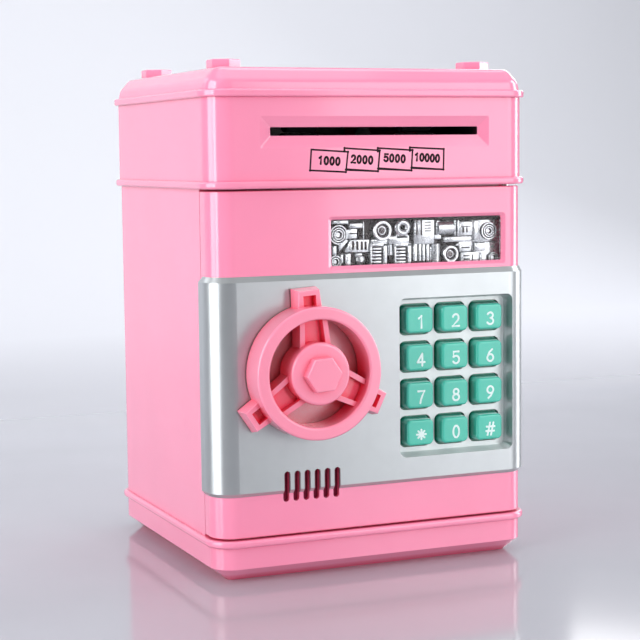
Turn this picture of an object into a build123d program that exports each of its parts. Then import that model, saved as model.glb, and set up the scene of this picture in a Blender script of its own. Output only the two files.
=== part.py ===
from build123d import *
import math
import os

# Toy safe coin bank: a combination-lock savings box with a hinged front door.
# Frame: origin at the centre of the base's underside, +X right, +Y to the back,
# +Z up; the door faces -Y.  All lengths in millimetres.

os.makedirs("parts", exist_ok=True)

# ------------------------------------------------------------ driving dimensions
HX, HY = 64.7, 59.6          # half width and half depth of the middle section
RC = 8.5                     # vertical corner radius of the middle section
T = 2.2                      # moulded wall thickness
Z_CHAMF, CHAMF_IN = 5.0, 6.2 # bottom chamfer: height and inset
Z_L3A, Z_L3B = 13.1, 15.9    # lower ledge (sill), bottom and top
L3_OUT = 1.7                 # how far the lower ledge stands out
Z_L2A, Z_L2B = 144.8, 147.6  # middle ledge, bottom and top
L2_OUT = 2.1
UP_OUT = 0.6                 # the upper section stands out this much
Z_R0, Z_R1 = 178.0, 180.8    # roof rim
R_OUT = 2.2                  # roof rim stand-out from the middle section
Z_BAND, Z_TOP = 184.2, 189.0 # top of the vertical band, flat top of the roof
Z_BOSS = 192.3               # top of the hexagonal roof bosses
BOSS_DY = 0.8                # offset of the four bosses towards the back
BOSS_X, BOSS_Y, BOSS_AF = 52.0, 40.0, 11.0

Y_SEAM = -46.5               # rear edge of the door's side returns
Y_JAMB = -46.1               # front edge of the fixed shell
DOOR_Z0, DOOR_Z1 = 16.5, 144.1
PIV_X, PIV_Y, BARREL_R = HX - 2.0, Y_SEAM, 2.0   # hinge axis
PIN_R = 1.2

PAN_T = 1.3                  # silver panel thickness
Y_FACE = -(HY + PAN_T)       # front face of the silver panel
PAN_Z0, PAN_Z1 = 32.0, 113.0
PAD_X0, PAD_X1, PAD_Z0, PAD_Z1 = 9.1, 58.0, 41.6, 102.5   # keypad recess rim
PAD_D = 5.5                  # recess depth
KEY_X0, KEY_PX = 18.15, 15.0 # first key column and pitch
KEY_Z0, KEY_PZ = 93.9, 14.4  # first key row and pitch
KEY_TRAVEL = 1.2

WX, WZ = -28.4, 77.5         # handwheel axis
W_TILT = 3.8                 # rest angle of the wheel's lugs, degrees
SHAFT_R = 3.5
Y_W0 = -61.5                 # rear of the wheel
Y_W1 = -72.6                 # front of its rim
RIM_RO, RIM_RI = 24.5, 19.8
HUB_R = 11.6

MODULE = 0.8                 # tooth module of every gear
PIN_TEETH = 10               # latch pinion
BOLT_THROW = 6.28            # latch travel in a quarter turn

WIN = (-19.2, 55.5, 114.3, 134.0)      # window bevel, outer edge
WIN_IN = (-17.7, 54.1, 115.6, 132.8)   # window opening
SLOT_OUT = (-46.0, 48.0, 159.4, 171.0) # bill slot recess, outer edge
SLOT_IN = (-41.4, 43.8, 163.9, 167.0)  # bill slot opening
SLOT_D = 1.7


# ------------------------------------------------------------ helpers
def bx(x0, x1, y0, y1, z0, z1):
    return Pos((x0 + x1) / 2, (y0 + y1) / 2, (z0 + z1) / 2) * Box(x1 - x0, y1 - y0, z1 - z0)


def rr(hx, hy, r, z0, z1):
    return Pos(0, 0, z0) * extrude(RectangleRounded(2 * hx, 2 * hy, r), amount=z1 - z0)


def taper(a, b):
    # each: (hx, hy, r, z)
    return loft([Pos(0, 0, a[3]) * RectangleRounded(2 * a[0], 2 * a[1], a[2]),
                 Pos(0, 0, b[3]) * RectangleRounded(2 * b[0], 2 * b[1], b[2])])


def cyl_y(x, z, r, y0, y1):
    return Pos(x, (y0 + y1) / 2, z) * Rot(90, 0, 0) * Cylinder(r, abs(y1 - y0))


def cyl_x(y, z, r, x0, x1):
    return Pos((x0 + x1) / 2, y, z) * Rot(0, 90, 0) * Cylinder(r, abs(x1 - x0))


def cyl_z(x, y, r, z0, z1):
    return Pos(x, y, (z0 + z1) / 2) * Cylinder(r, abs(z1 - z0))


def front(cx, cz, y):
    # plane facing -Y: local x is +X, local y is +Z
    return Plane(origin=(cx, y, cz), x_dir=(1, 0, 0), z_dir=(0, -1, 0))


def fprism(sk, cx, cz, y_back, y_front):
    return extrude(front(cx, cz, y_back) * sk, amount=y_back - y_front)


def frect(x0, x1, z0, z1, r, y_back, y_front):
    sk = RectangleRounded(x1 - x0, z1 - z0, r) if r > 0 else Rectangle(x1 - x0, z1 - z0)
    return fprism(sk, (x0 + x1) / 2, (z0 + z1) / 2, y_back, y_front)


def floft(a, ra, ya, b, rb, yb):
    # loft between two rounded rectangles (x0, x1, z0, z1) in planes y = ya and y = yb
    s1 = front((a[0] + a[1]) / 2, (a[2] + a[3]) / 2, ya) * RectangleRounded(a[1] - a[0], a[3] - a[2], ra)
    s2 = front((b[0] + b[1]) / 2, (b[2] + b[3]) / 2, yb) * RectangleRounded(b[1] - b[0], b[3] - b[2], rb)
    return loft([s1, s2])


def rim_edges(p, lo=True, hi=True):
    g = p.edges().group_by(Axis.Z)
    out = []
    if lo:
        out += list(g[0])
    if hi:
        out += list(g[-1])
    return out


def soft_rim(p, r, lo=True, hi=True):
    return fillet(rim_edges(p, lo, hi), r)


def gear(teeth, m, width, bore, thin=0.26, phase=0.0, rmin=None):
    # spur gear outline with straight-flanked teeth thinned for running clearance
    rp = m * teeth / 2
    ra, rf = rp + 0.95 * m, rp - 1.2 * m
    pts = []
    half_p = (math.pi * m / 2 - thin) / 2 / rp
    half_a = (math.pi * m / 2 - thin - 2 * 0.95 * m * math.tan(math.radians(24))) / 2 / ra
    half_f = (math.pi * m / 2 - thin + 2 * 0.75 * m * math.tan(math.radians(16))) / 2 / rf
    for k in range(teeth):
        a = math.radians(phase) + 2 * math.pi * k / teeth
        for r, h in ((rf, -half_f), (rp, -half_p), (ra, -half_a), (ra, half_a), (rp, half_p), (rf, half_f)):
            pts.append((r * math.cos(a + h), r * math.sin(a + h)))
    sk = make_face(Polyline(*pts, close=True))
    g = extrude(sk, amount=width)
    if bore:
        g = g - Pos(0, 0, width / 2) * Cylinder(bore, width + 2)
    return g


def tube_path(points, radius, r):
    path = FilletPolyline(*points, radius=radius)
    e = path.edges()[0]
    pl = Plane(origin=path @ 0, z_dir=path % 0)
    return sweep(pl * Circle(r), path=path)


nodes = {}


def put(name, shape):
    nodes[name] = shape


# ------------------------------------------------------------ base
base = taper((HX - CHAMF_IN, HY - CHAMF_IN, RC - CHAMF_IN, 0), (HX, HY, RC, Z_CHAMF))
base += rr(HX, HY, RC, Z_CHAMF, Z_L3A)
base += soft_rim(rr(HX + L3_OUT, HY + L3_OUT, RC + L3_OUT, Z_L3A, Z_L3B), 1.1)
base -= taper((HX - CHAMF_IN - 1.6, HY - CHAMF_IN - 1.6, 2.0, 2.5), (HX - 2.7, HY - 2.7, RC - 2.7, 6.6))
base -= rr(HX - 2.7, HY - 2.7, RC - 2.7, 6.6, 20)
BAY = (-31.0, 31.0, -8.5, 38.5)
base += bx(BAY[0] - 1.6, BAY[1] + 1.6, BAY[2] - 1.6, BAY[3] + 1.6, 1.0, 18.8)
base -= bx(BAY[0], BAY[1], BAY[2], BAY[3], -1, 17.2)
POSTS = [(-54.0, -37.0), (54.0, -37.0), (-54.0, 47.5), (54.0, 47.5)]
for px, py in POSTS:
    base += cyl_z(px, py, 4.6, 2.0, 13.7)
    base -= cyl_z(px, py, 3.2, -1, 8.0)
    base -= cyl_z(px, py, 1.8, 7, 14)
# rebate for the battery cover, with its screw tab
base -= bx(-34.0, 34.0, -11.6, 41.6, -1, 2.2)
base -= bx(-7.0, 7.0, -20.0, -11, -1, 2.2)
base += cyl_z(0, -15.6, 3.8, 2.2, 11.0)
base -= cyl_z(0, -15.6, 1.25, 1.5, 10.0)
# hinge pin socket in the sill
base += cyl_z(PIV_X, PIV_Y, 3.1, 9.0, Z_L3A) & rr(HX, HY, RC, 5, Z_L3A)
base -= cyl_z(PIV_X, PIV_Y, PIN_R, 9.6, 20)
put("base_tray", base)

cover = bx(-33.7, 33.7, -11.3, 41.3, 0.0, 2.1) + bx(-6.7, 6.7, -19.7, -11, 0.0, 2.1)
cover -= cyl_z(0, -15.6, 1.5, 0, 3)
cover -= cyl_z(0, -15.6, 2.9, -1, 0.3)
cover -= Pos(0, -15.6, 0.29) * Cone(2.9, 1.5, 1.4, align=(Align.CENTER, Align.CENTER, Align.MIN))
for k in range(5):
    cover -= bx(-9, 9, 33.5 - 2.2 * k, 34.5 - 2.2 * k, -1, 0.6)
put("battery_cover", cover)
scr = Pos(0, -15.6, 0.35) * Cone(2.8, 1.4, 1.35, align=(Align.CENTER, Align.CENTER, Align.MIN))
scr += cyl_z(0, -15.6, 1.25, 1.2, 9.6)
scr -= bx(-1.7, 1.7, -15.85, -15.35, 0.2, 0.95) + bx(-0.25, 0.25, -17.3, -13.9, 0.2, 0.95)
put("cover_screw", scr)

cells = None
for k in range(3):
    cy = 0.0 + 15.3 * k - 0.3
    s = 1 if k % 2 == 0 else -1
    c = cyl_x(cy, 9.6, 7.1, -24.6, 24.6) + cyl_x(cy, 9.6, 2.7, s * 24.6, s * 25.6)
    cells = c if cells is None else cells + c
put("battery_cells", cells)
cont = None
for k in range(3):
    cy = 15.3 * k - 0.3
    s = 1 if k % 2 == 0 else -1
    plate1 = bx(30.2, 31.0, cy - 6, cy + 6, 4, 16)
    plate2 = bx(-31.0, -30.2, cy - 6, cy + 6, 4, 16)
    stud = cyl_x(cy, 9.6, 3.2, s * 25.6, s * 30.4)
    spring = None
    for j in range(4):
        ring = Pos(-s * (25.3 + 1.3 * j), cy, 9.6) * Rot(0, 90, 0) * Torus(3.4, 0.45)
        spring = ring if spring is None else spring + ring
    spring += bx(min(-s * 24.95, -s * 30.4), max(-s * 24.95, -s * 30.4), cy - 0.35, cy + 0.35, 12.65, 13.35)
    g = plate1 + plate2 + stud + spring
    cont = g if cont is None else cont + g
put("battery_contacts", cont)

floor_ = rr(HX - 2.9, HY - 2.9, RC - 2.9, 13.7, Z_L3B)
floor_ += bx(-34.8, 34.8, -12.3, 42.3, 13.7, 21.0)
floor_ -= bx(-32.9, 32.9, -10.4, 40.4, 13, 19.1)
for px, py in POSTS:
    floor_ -= cyl_z(px, py, 1.8, 13, 17)
floor_ -= cyl_z(PIV_X, PIV_Y, 3.4, 13, 17)
floor_ -= bx(24.2, 31.0, 52.2, 56.5, 13, 17)
put("chamber_floor", floor_)

# ------------------------------------------------------------ main shell with door jamb
shell = rr(HX, HY, RC, Z_L3B, Z_L2A) - rr(HX - T, HY - T, RC - T, Z_L3B - 1, Z_L2A + 1)
shell = shell & bx(-80, 80, Y_JAMB, 80, 0, 200)
jamb = bx(-(HX - 1), HX - 1, Y_JAMB, Y_JAMB + 3, Z_L3B, Z_L2A) + bx(54.7, HX - 1, Y_JAMB + 2, Y_JAMB + 6, Z_L3B, Z_L2A)
jamb -= frect(-54.7, 54.7, 22.0, 138.0, 2.0, 0, -60)
shell += jamb
shell -= bx(PIV_X - 2.6, 80, -60, PIV_Y + 2.7, 0, 200)
for px, py in POSTS:
    sg = 1 if px > 0 else -1
    shell += cyl_z(px, py, 4.2, Z_L3B, 34.0)
    shell += bx(min(sg * 55, sg * (HX - T + 0.4)), max(sg * 55, sg * (HX - T + 0.4)), py - 0.9, py + 0.9, Z_L3B, 33.0)
    shell -= cyl_z(px, py, 1.5, 15, 31.0)
# stiffening ribs inside the rear wall
for rx in (-40.0, -20.0, 0.0, 20.0, 40.0):
    shell += bx(rx - 0.8, rx + 0.8, HY - T - 1.6, HY - T + 0.3, 24.0, 136.0)
put("main_shell", shell)

cs = None
for px, py in POSTS:
    s = cyl_z(px, py, 2.8, 5.4, 7.9) + cyl_z(px, py, 1.5, 7.5, 30.5)
    s -= bx(px - 1.8, px + 1.8, py - 0.3, py + 0.3, 5, 6.6) + bx(px - 0.3, px + 0.3, py - 1.8, py + 1.8, 5, 6.6)
    cs = s if cs is None else cs + s
put("case_screws", cs)

put("hinge_pins", cyl_z(PIV_X, PIV_Y, PIN_R, 9.8, 24.5) + cyl_z(PIV_X, PIV_Y, PIN_R, 136.0, 151.0))
put("strike_plate", frect(-62.0, -54.9, 72.0, 98.0, 1.0, Y_JAMB + 3.7, Y_JAMB + 3.0))

# ------------------------------------------------------------ upper housing
UX, UY, UR = HX + UP_OUT, HY + UP_OUT, RC + UP_OUT
up = rr(UX, UY, UR, Z_L2A + 0.5, Z_R0)
up += soft_rim(rr(HX + L2_OUT, HY + L2_OUT, RC + L2_OUT, Z_L2A, Z_L2B), 1.0)
up -= rr(UX - T, UY - T, UR - T, 147.0, Z_R0 + 1)
up += bx(-52.0, 54.0, -(UY - 1.0), -55.4, 155.5, 174.5)
up -= floft(SLOT_OUT, 0.6, -UY - 0.01, SLOT_IN, 0.5, -UY + SLOT_D)
up -= frect(*SLOT_IN, 0.5, -50, -70)
up -= bx(-46.0, 46.0, -38.0, -25.0, 140, 150)          # bill drop
up -= bx(-17.4, 17.4, 6.1, 13.5, 140, 150)             # coin chute passage
up -= bx(24.2, 31.0, 52.4, 56.0, 140, 150)             # battery lead passage
up += cyl_z(PIV_X, PIV_Y, 3.4, 146.5, 153.0) & rr(UX, UY, UR, 140, 160)
up -= cyl_z(PIV_X, PIV_Y, PIN_R, 140, 151.5)
for sx in (-28.0, 28.0):
    for sz in (154.0, 171.5):
        up += cyl_y(sx, sz, 2.2, 53.6, UY - 1.0)
put("upper_housing", up)

# ------------------------------------------------------------ roof
roof = soft_rim(rr(HX + R_OUT, HY + R_OUT, RC + R_OUT, Z_R0, Z_R1), 0.8)
cap = taper((HX + 0.5, HY + 0.5, RC + 0.5, Z_R1 - 0.5), (HX - 0.4, HY - 0.4, RC - 0.4, Z_BAND))
cap += taper((HX - 0.4, HY - 0.4, RC - 0.4, Z_BAND), (HX - 4.7, HY - 4.7, 3.2, Z_TOP))
top_edges = [e for e in cap.edges() if abs(e.center().Z - Z_TOP) < 1e-3]
band_edges = [e for e in cap.edges() if abs(e.center().Z - Z_BAND) < 1e-3]
try:
    cap = fillet(top_edges, 4.2)
except Exception as err:
    print("top fillet skipped", err)
band_edges = [e for e in cap.edges() if abs(e.center().Z - Z_BAND) < 1e-3]
try:
    cap = fillet(band_edges, 4.6)
except Exception as err:
    print("band fillet skipped", err)
roof += cap
inner = rr(UX - T, UY - T, UR - T, Z_R0 - 1, Z_R1)
inner += taper((HX - T, HY - T, RC - T, Z_R1 - 0.2), (HX - T - 1.0, HY - T - 1.0, RC - T - 1.0, Z_BAND - 1.0))
inner += taper((HX - T - 1.0, HY - T - 1.0, RC - T - 1.0, Z_BAND - 1.1), (HX - 8.4, HY - 8.4, 2.4, Z_TOP - T))
roof -= inner
for sx in (-1, 1):
    for sy in (-1, 1):
        b = Pos(sx * BOSS_X, sy * BOSS_Y + BOSS_DY, 0) * (Pos(0, 0, Z_TOP - 1.5) * extrude(
            RegularPolygon(radius=BOSS_AF / math.sqrt(3), side_count=6, rotation=30), amount=Z_BOSS - Z_TOP + 1.5))
        b = fillet(b.edges().group_by(Axis.Z)[-1], 0.5)
        roof += b
roof -= bx(-14.5, 14.5, 8.2, 11.4, 170, 200)           # coin slot
put("roof_cover", roof)

chute = bx(-17.2, 17.2, 6.3, 13.3, 139.0, Z_TOP - T)
chute += bx(-21.0, 21.0, 2.6, 17.0, 147.0, 148.6)
chute -= bx(-15.6, 15.6, 7.9, 11.7, 130, 200)
put("coin_chute", chute)

# ------------------------------------------------------------ bill feeder
FY, FZ = -44.0, 160.0       # drive roller axis
PZ = 169.4                  # pinch roller axis
frame = bx(-47.0, 47.0, -55.0, -2.0, 147.0, 149.0) - bx(-43.0, 43.0, -38.0, -25.0, 140, 150)
for sx in (-1, 1):
    frame += bx(min(sx * 45, sx * 47), max(sx * 45, sx * 47), -55.0, -2.0, 148.5, 176.0)
frame += bx(-45.5, 45.5, -55.0, -50.2, 162.2, 163.1)
frame += bx(-45.5, 45.5, -55.0, -50.2, 167.9, 168.8)
frame -= cyl_x(FY, FZ, 1.56, -60, 60)
frame -= cyl_x(FY, PZ, 1.31, -60, 60)
frame += cyl_x(FY + 17.6, FZ, 1.2, 45.0, 51.6)
frame -= cyl_x(FY + 29.6, FZ, 4.6, 40, 60)
put("feeder_frame", frame)
put("feed_shaft", cyl_x(FY, FZ, 1.5, -49.5, 52.5))
tyres = None
for cx_ in (-24.0, 24.0):
    t = cyl_x(FY, FZ, 5.0, cx_ - 7, cx_ + 7) - cyl_x(FY, FZ, 1.5, cx_ - 8, cx_ + 8)
    for q in (-4.5, 0.0, 4.5):
        t -= Pos(cx_ + q, FY, FZ) * Rot(0, 90, 0) * Torus(5.15, 0.5)
    tyres = t if tyres is None else tyres + t
put("feed_tyres", tyres)
GX0, GW = 47.8, 3.0
put("feed_gear", Pos(GX0, FY, FZ) * Rot(0, 90, 0) * gear(24, MODULE, GW, 1.5, phase=0.0))
put("pinch_shaft", cyl_x(FY, PZ, 1.25, -49.0, 47.4))
pr = None
for cx_ in (-24.0, 24.0):
    t = cyl_x(FY, PZ, 4.0, cx_ - 6, cx_ + 6) - cyl_x(FY, PZ, 1.25, cx_ - 8, cx_ + 8)
    pr = t if pr is None else pr + t
put("pinch_rollers", pr)
# gear axes point along +X; local x of the tilted gear is -Z, so the phases are
# given about that direction
put("idler_gear", Pos(GX0, FY + 17.6, FZ) * Rot(0, 90, 0) * gear(20, MODULE, GW, 1.26, phase=9.0))
mp = Pos(GX0, FY + 29.6, FZ) * Rot(0, 90, 0) * gear(10, MODULE, GW + 0.6, 0.8, phase=18.0)
put("motor_pinion", mp + cyl_x(FY + 29.6, FZ, 1.0, 31.0, 52.0))
mot = cyl_x(FY + 29.6, FZ, 9.0, 16.0, 44.6) + cyl_x(FY + 29.6, FZ, 4.5, 44.5, 46.6) + cyl_x(FY + 29.6, FZ, 3.2, 12.8, 16.1)
mot -= cyl_x(FY + 29.6, FZ, 1.05, 30.0, 50.0)
mot = mot & bx(0, 60, FY + 29.6 - 9, FY + 29.6 + 9, FZ - 7.5, FZ + 7.5)
put("feed_motor", mot)
put("slot_sensor", bx(-36.0, -29.0, -54.5, -50.4, 157.2, 162.2) + bx(-36.0, -29.0, -54.5, -50.4, 168.8, 173.2))
board = bx(-32.0, 32.0, 52.0, 53.6, 151.0, 175.0)
comp = bx(-12.0, -2.0, 50.0, 52.1, 158.0, 168.0) + bx(6.0, 14.0, 49.0, 52.1, 156.0, 161.0)
comp += cyl_y(20.0, 168.0, 3.0, 45.0, 52.1) + cyl_y(-22.0, 158.0, 2.5, 46.0, 52.1) + bx(8.0, 24.0, 50.6, 52.1, 171.0, 174.0)
put("main_board", board + comp)
leads = None
for lx in (26.0, 29.2):
    t = tube_path([(lx, 40.1, 9.0), (lx, 54.2, 9.0), (lx, 54.2, 151.5)], 4.0, 0.6)
    leads = t if leads is None else leads + t
put("battery_leads", leads)

# ------------------------------------------------------------ door shell
door = rr(HX, HY, RC, DOOR_Z0, DOOR_Z1)
door = soft_rim(door, 0.5)
door -= rr(HX - T, HY - T, RC - T, DOOR_Z0 + T, DOOR_Z1 - T)
door = door & bx(-80, 80, -80, Y_SEAM, 0, 200)
# hinge barrel on the right-hand edge
door += cyl_z(PIV_X, PIV_Y, BARREL_R, DOOR_Z0, DOOR_Z1)
door += bx(PIV_X - 2.0, PIV_X + 2.0, Y_SEAM - 3.0, Y_SEAM, DOOR_Z0, DOOR_Z1)
door -= cyl_z(PIV_X, PIV_Y, PIN_R + 0.05, DOOR_Z0 - 1, 25.0)
door -= cyl_z(PIV_X, PIV_Y, PIN_R + 0.05, 135.5, DOOR_Z1 + 1)
# screw bosses for the inner cover
DPOSTS = [(-56.0, 24.5), (56.0, 24.5), (-56.0, 137.5), (56.0, 137.8), (0.0, 24.5), (-56.0, 107.0)]
for px, pz in DPOSTS:
    door += cyl_y(px, pz, 3.0, -49.3, -(HY - T) - 0.2)
# window
door -= floft(WIN, 1.2, -HY - 0.01, WIN_IN, 0.8, -HY + 1.0)
door -= frect(*WIN_IN, 0.8, -50, -58.7)
# keypad pan opening, wheel bush hole, speaker slots
door -= frect(PAD_X0 - 1.4, PAD_X1 + 1.5, PAD_Z0 - 1.4, PAD_Z1 + 1.4, 2.5, -50, -70)
door -= cyl_y(WX, WZ, 6.5, -70, -50)
SLOTS = [WX + 1.2 + 4.05 * (k - 2.5) for k in range(6)]
slot_cut = None
for sx in SLOTS:
    c = frect(sx - 1.2, sx + 1.2, 28.8, 40.4, 1.19, -57.0, -70)
    slot_cut = c if slot_cut is None else slot_cut + c
door -= slot_cut
for px, pz in DPOSTS:
    door -= cyl_y(px, pz, 1.2, -57.0, -49.0)
put("door_shell", door)

# ------------------------------------------------------------ silver panel with keypad pan
E = 0.15
pan = taper((HX + E, HY + E, RC + E, PAN_Z0), (HX + PAN_T, HY + PAN_T, RC + PAN_T, PAN_Z0 + 1.4))
pan += rr(HX + PAN_T, HY + PAN_T, RC + PAN_T, PAN_Z0 + 1.4, PAN_Z1 - 2.0)
pan += taper((HX + PAN_T, HY + PAN_T, RC + PAN_T, PAN_Z1 - 2.0), (HX + E, HY + E, RC + E, PAN_Z1))
lim = bx(-80, 0, -80, Y_SEAM - 0.4, 0, 200) + bx(0, 80, -80, PIV_Y - 2.9, 0, 200)
pan = pan & lim
# clipped upper corner on the wrapped side
pan -= Pos(-HX, Y_SEAM - 0.4, PAN_Z1) * Rot(45, 0, 0) * Box(8, 3.0, 3.0)
pan -= rr(HX, HY, RC, 0, 200)
pan += frect(PAD_X0 - 1.1, PAD_X1 + 1.2, PAD_Z0 - 1.1, PAD_Z1 + 1.1, 2.2, Y_FACE + PAD_D + 1.2, -HY - 0.3)
PAD_FLOOR = (PAD_X0 + 1.2, PAD_X1 - 1.1, PAD_Z0 + 1.2, PAD_Z1 - 1.2)
pan -= floft((PAD_X0, PAD_X1, PAD_Z0, PAD_Z1), 2.6, Y_FACE - 0.01, PAD_FLOOR, 1.8, Y_FACE + PAD_D)
pan -= cyl_y(WX, WZ, 6.5, -70, -50)
pan -= slot_cut
KEYS = {}
names = ["key_1", "key_2", "key_3", "key_4", "key_5", "key_6", "key_7", "key_8", "key_9", "key_star", "key_0", "key_hash"]
for i, nm in enumerate(names):
    kx, kz = KEY_X0 + KEY_PX * (i % 3), KEY_Z0 - KEY_PZ * (i // 3)
    KEYS[nm] = (kx, kz)
    pan -= frect(kx - 6.75, kx + 6.75, kz - 6.1, kz + 6.1, 2.6, -50, Y_FACE + PAD_D - 0.5)
put("door_panel", pan)

# ------------------------------------------------------------ keys
YK0 = Y_FACE + PAD_D + 1.2      # rear face of the pan floor
for nm, (kx, kz) in KEYS.items():
    k = floft((kx - 6.25, kx + 6.25, kz - 5.45, kz + 5.45), 2.2, YK0,
              (kx - 5.6, kx + 5.6, kz - 4.85, kz + 4.85), 1.9, -60.1)
    fe = [e for e in k.edges() if abs(e.center().Y + 60.1) < 1e-3]
    try:
        k = fillet(fe, 0.9)
    except Exception as err:
        print("key fillet", err)
    k += frect(kx - 6.2, kx + 6.2, kz - 5.4, kz + 5.4, 2.1, YK0 + 0.6, YK0 - 0.5)
    k += frect(kx - 7.2, kx + 7.2, kz - 6.7, kz + 6.7, 2.0, YK0 + 1.1, YK0 + 0.1)
    put(nm, k)
YM = YK0 + 1.1 + KEY_TRAVEL + 0.12
mat = bx(KEY_X0 - 8.0, KEY_X0 + 2 * KEY_PX + 8.0, YM + 0.4, YM + 1.0, KEY_Z0 - 3 * KEY_PZ - 7.0, KEY_Z0 + 7.0)
for nm, (kx, kz) in KEYS.items():
    mat += Pos(kx, YM + 0.25, kz) * Rot(90, 0, 0) * Cone(3.6, 2.6, 0.5)
put("keypad_mat", mat)
kb = bx(KEY_X0 - 8.0, KEY_X0 + 2 * KEY_PX + 8.0, YM + 1.0, YM + 2.0, KEY_Z0 - 3 * KEY_PZ - 8.5, KEY_Z0 + 8.5)
put("keypad_board", kb)

# ------------------------------------------------------------ window and display behind it
lens = frect(WIN_IN[0] + 0.1, WIN_IN[1] - 0.1, WIN_IN[2] + 0.1, WIN_IN[3] - 0.1, 0.7, -57.0, -58.5)
lens += frect(WIN_IN[0] - 1.4, WIN_IN[1] + 1.4, WIN_IN[2] - 1.2, WIN_IN[3] + 1.4, 0.8, -56.6, -(HY - T))
put("window_lens", lens)
BK = -52.6
put("relief_backing", frect(WIN_IN[0] - 1.6, WIN_IN[1] + 1.6, WIN_IN[2] - 1.0, WIN_IN[3] + 1.6, 0.8, BK + 1.2, BK))


def dsk(x, z, r, h, r2=None, h2=0.0):
    d = cyl_y(x, z, r, BK, BK - h)
    d = fillet(d.edges().filter_by(lambda e: abs(e.center().Y - (BK - h)) < 1e-3), min(0.35, r * 0.3))
    if r2:
        d -= cyl_y(x, z, r2, BK - h2, BK - h - 1)
    return d


def blk(x0, x1, z0, z1, h, r=0.25):
    b = bx(x0, x1, BK - h, BK, z0, z1)
    try:
        b = fillet(b.edges().filter_by(lambda e: abs(e.center().Y - (BK - h)) < 1e-3), r)
    except Exception:
        pass
    return b


rel = []
for rad, h in ((3.9, 1.2), (3.0, 1.8), (2.1, 2.4), (1.1, 3.0)):
    d = cyl_y(-13.4, 127.0, rad, BK, BK - h)
    if rad > 1.2:
        d -= Pos(-13.4, BK - h, 127.0) * Rot(90, 0, 0) * Torus(rad - 0.42, 0.22)
    rel.append(d)
for rad, h in ((2.3, 1.0), (1.6, 1.6), (0.9, 2.2)):
    rel.append(cyl_y(-14.9, 118.6, rad, BK, BK - h))
rel.append(blk(-16.6, -9.9, 131.0, 132.4, 1.6))
rel.append(blk(-8.8, -2.6, 129.9, 131.2, 2.6))
rel.append(blk(-9.6, -6.4, 125.6, 129.2, 2.2))
rel.append(blk(-4.6, -4.1, 125.6, 129.6, 1.6, 0.1))
g = make_face(Polyline((-8.8, 124.9), (-1.1, 124.9), (-1.1, 120.3), (-11.4, 120.3), close=True))
g = extrude(Plane(origin=(0, BK, 0), x_dir=(1, 0, 0), z_dir=(0, -1, 0)) * g, amount=2.4)
for gx in (-8.1, -6.1, -4.2, -2.5):
    g -= bx(gx - 0.45, gx + 0.45, BK - 3.5, BK - 0.8, 121.4, 123.9)
rel.append(g)
rel.append(blk(-10.9, -8.9, 115.0, 119.2, 2.4))
rel.append(blk(-7.6, -6.8, 115.0, 119.0, 1.6))
rel.append(Pos(-4.2, BK - 1.2, 116.9) * Sphere(1.15))
rel.append(cyl_y(-4.2, 116.9, 0.7, BK, BK - 1.2))
rel.append(dsk(4.2, 128.2, 4.1, 3.0, 2.75, 1.0))
rel.append(dsk(12.6, 128.8, 3.3, 2.6, 0.75, 0.4))
rel.append(blk(8.6, 15.4, 123.0, 126.6, 2.0))
rel.append(blk(-0.6, 7.4, 123.0, 123.9, 1.4, 0.2))
for x0 in (-0.7, 9.4):
    rel.append(blk(x0, x0 + 5.6, 115.0, 122.7, 1.4, 0.1))
    for j in range(5):
        rel.append(blk(x0 - 0.1, x0 + 4.4, 115.5 + 1.5 * j, 116.3 + 1.5 * j, 2.8, 0.2))
    rel.append(blk(x0 + 4.9, x0 + 5.8, 115.0, 122.4, 2.0, 0.2))
p = blk(17.4, 26.4, 122.8, 132.6, 2.2, 0.3)
for gx in (19.1, 21.0):
    p -= bx(gx - 0.3, gx + 0.3, BK - 3, BK - 1.3, 126.6, 133)
for gz in (127.9, 129.5, 131.1):
    p -= bx(22.2, 24.9, BK - 3, BK - 1.3, gz - 0.28, gz + 0.28)
rel.append(p)
for gx in (17.6, 19.9, 22.1, 24.0):
    rel.append(blk(gx - 0.65, gx + 0.65, 115.8, 122.3, 2.4, 0.25))
rel.append(blk(27.0, 28.6, 115.0, 120.8, 2.0))
rel.append(Pos(31.6, BK - 0.9, 128.6) * Rot(0, 90, 0) * Cylinder(2.5, 5.6))
for gx in (35.0, 36.3):
    rel.append(Pos(gx, BK - 0.9, 128.6) * Rot(0, 90, 0) * Cylinder(2.85, 0.7))
p = blk(37.2, 42.0, 125.8, 131.6, 2.6, 0.3)
for gx, z0 in ((38.3, 126.2), (39.6, 127.0), (40.8, 127.0)):
    p -= bx(gx - 0.28, gx + 0.28, BK - 3.5, BK - 1.2, z0, z0 + 1.9)
rel.append(p)
rel.append(blk(30.2, 42.6, 123.7, 125.3, 2.0))
rel.append(dsk(33.2, 118.4, 3.6, 3.2, 2.5, 0.9))
rel.append(blk(34.6, 45.6, 121.8, 123.3, 2.4))
rel.append(blk(37.2, 41.2, 119.3, 121.3, 2.0))
rel.append(blk(42.2, 45.6, 119.0, 121.3, 1.4))
rel.append(blk(37.4, 45.6, 115.0, 118.6, 2.2))
rel.append(cyl_x(BK - 1.6, 120.2, 0.8, 43.0, 47.4))
d = dsk(50.3, 126.8, 3.8, 1.8)
d += dsk(50.3, 126.8, 2.7, 2.3)
d -= Pos(50.3, BK - 2.3, 126.8) * Rot(90, 0, 0) * Torus(1.5, 0.25)
rel.append(d)
d = dsk(51.4, 117.6, 2.4, 2.2)
d -= Pos(51.4, BK - 2.2, 117.6) * Rot(90, 0, 0) * Torus(1.5, 0.25)
rel.append(d)
relief = rel[0]
for q in rel[1:]:
    relief += q
relief = relief & bx(WIN_IN[0] - 0.5, WIN_IN[1] + 0.5, BK - 3.5, BK, WIN_IN[2] - 0.6, WIN_IN[3] + 0.4)
put("mechanism_relief", relief)
eye = None
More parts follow.
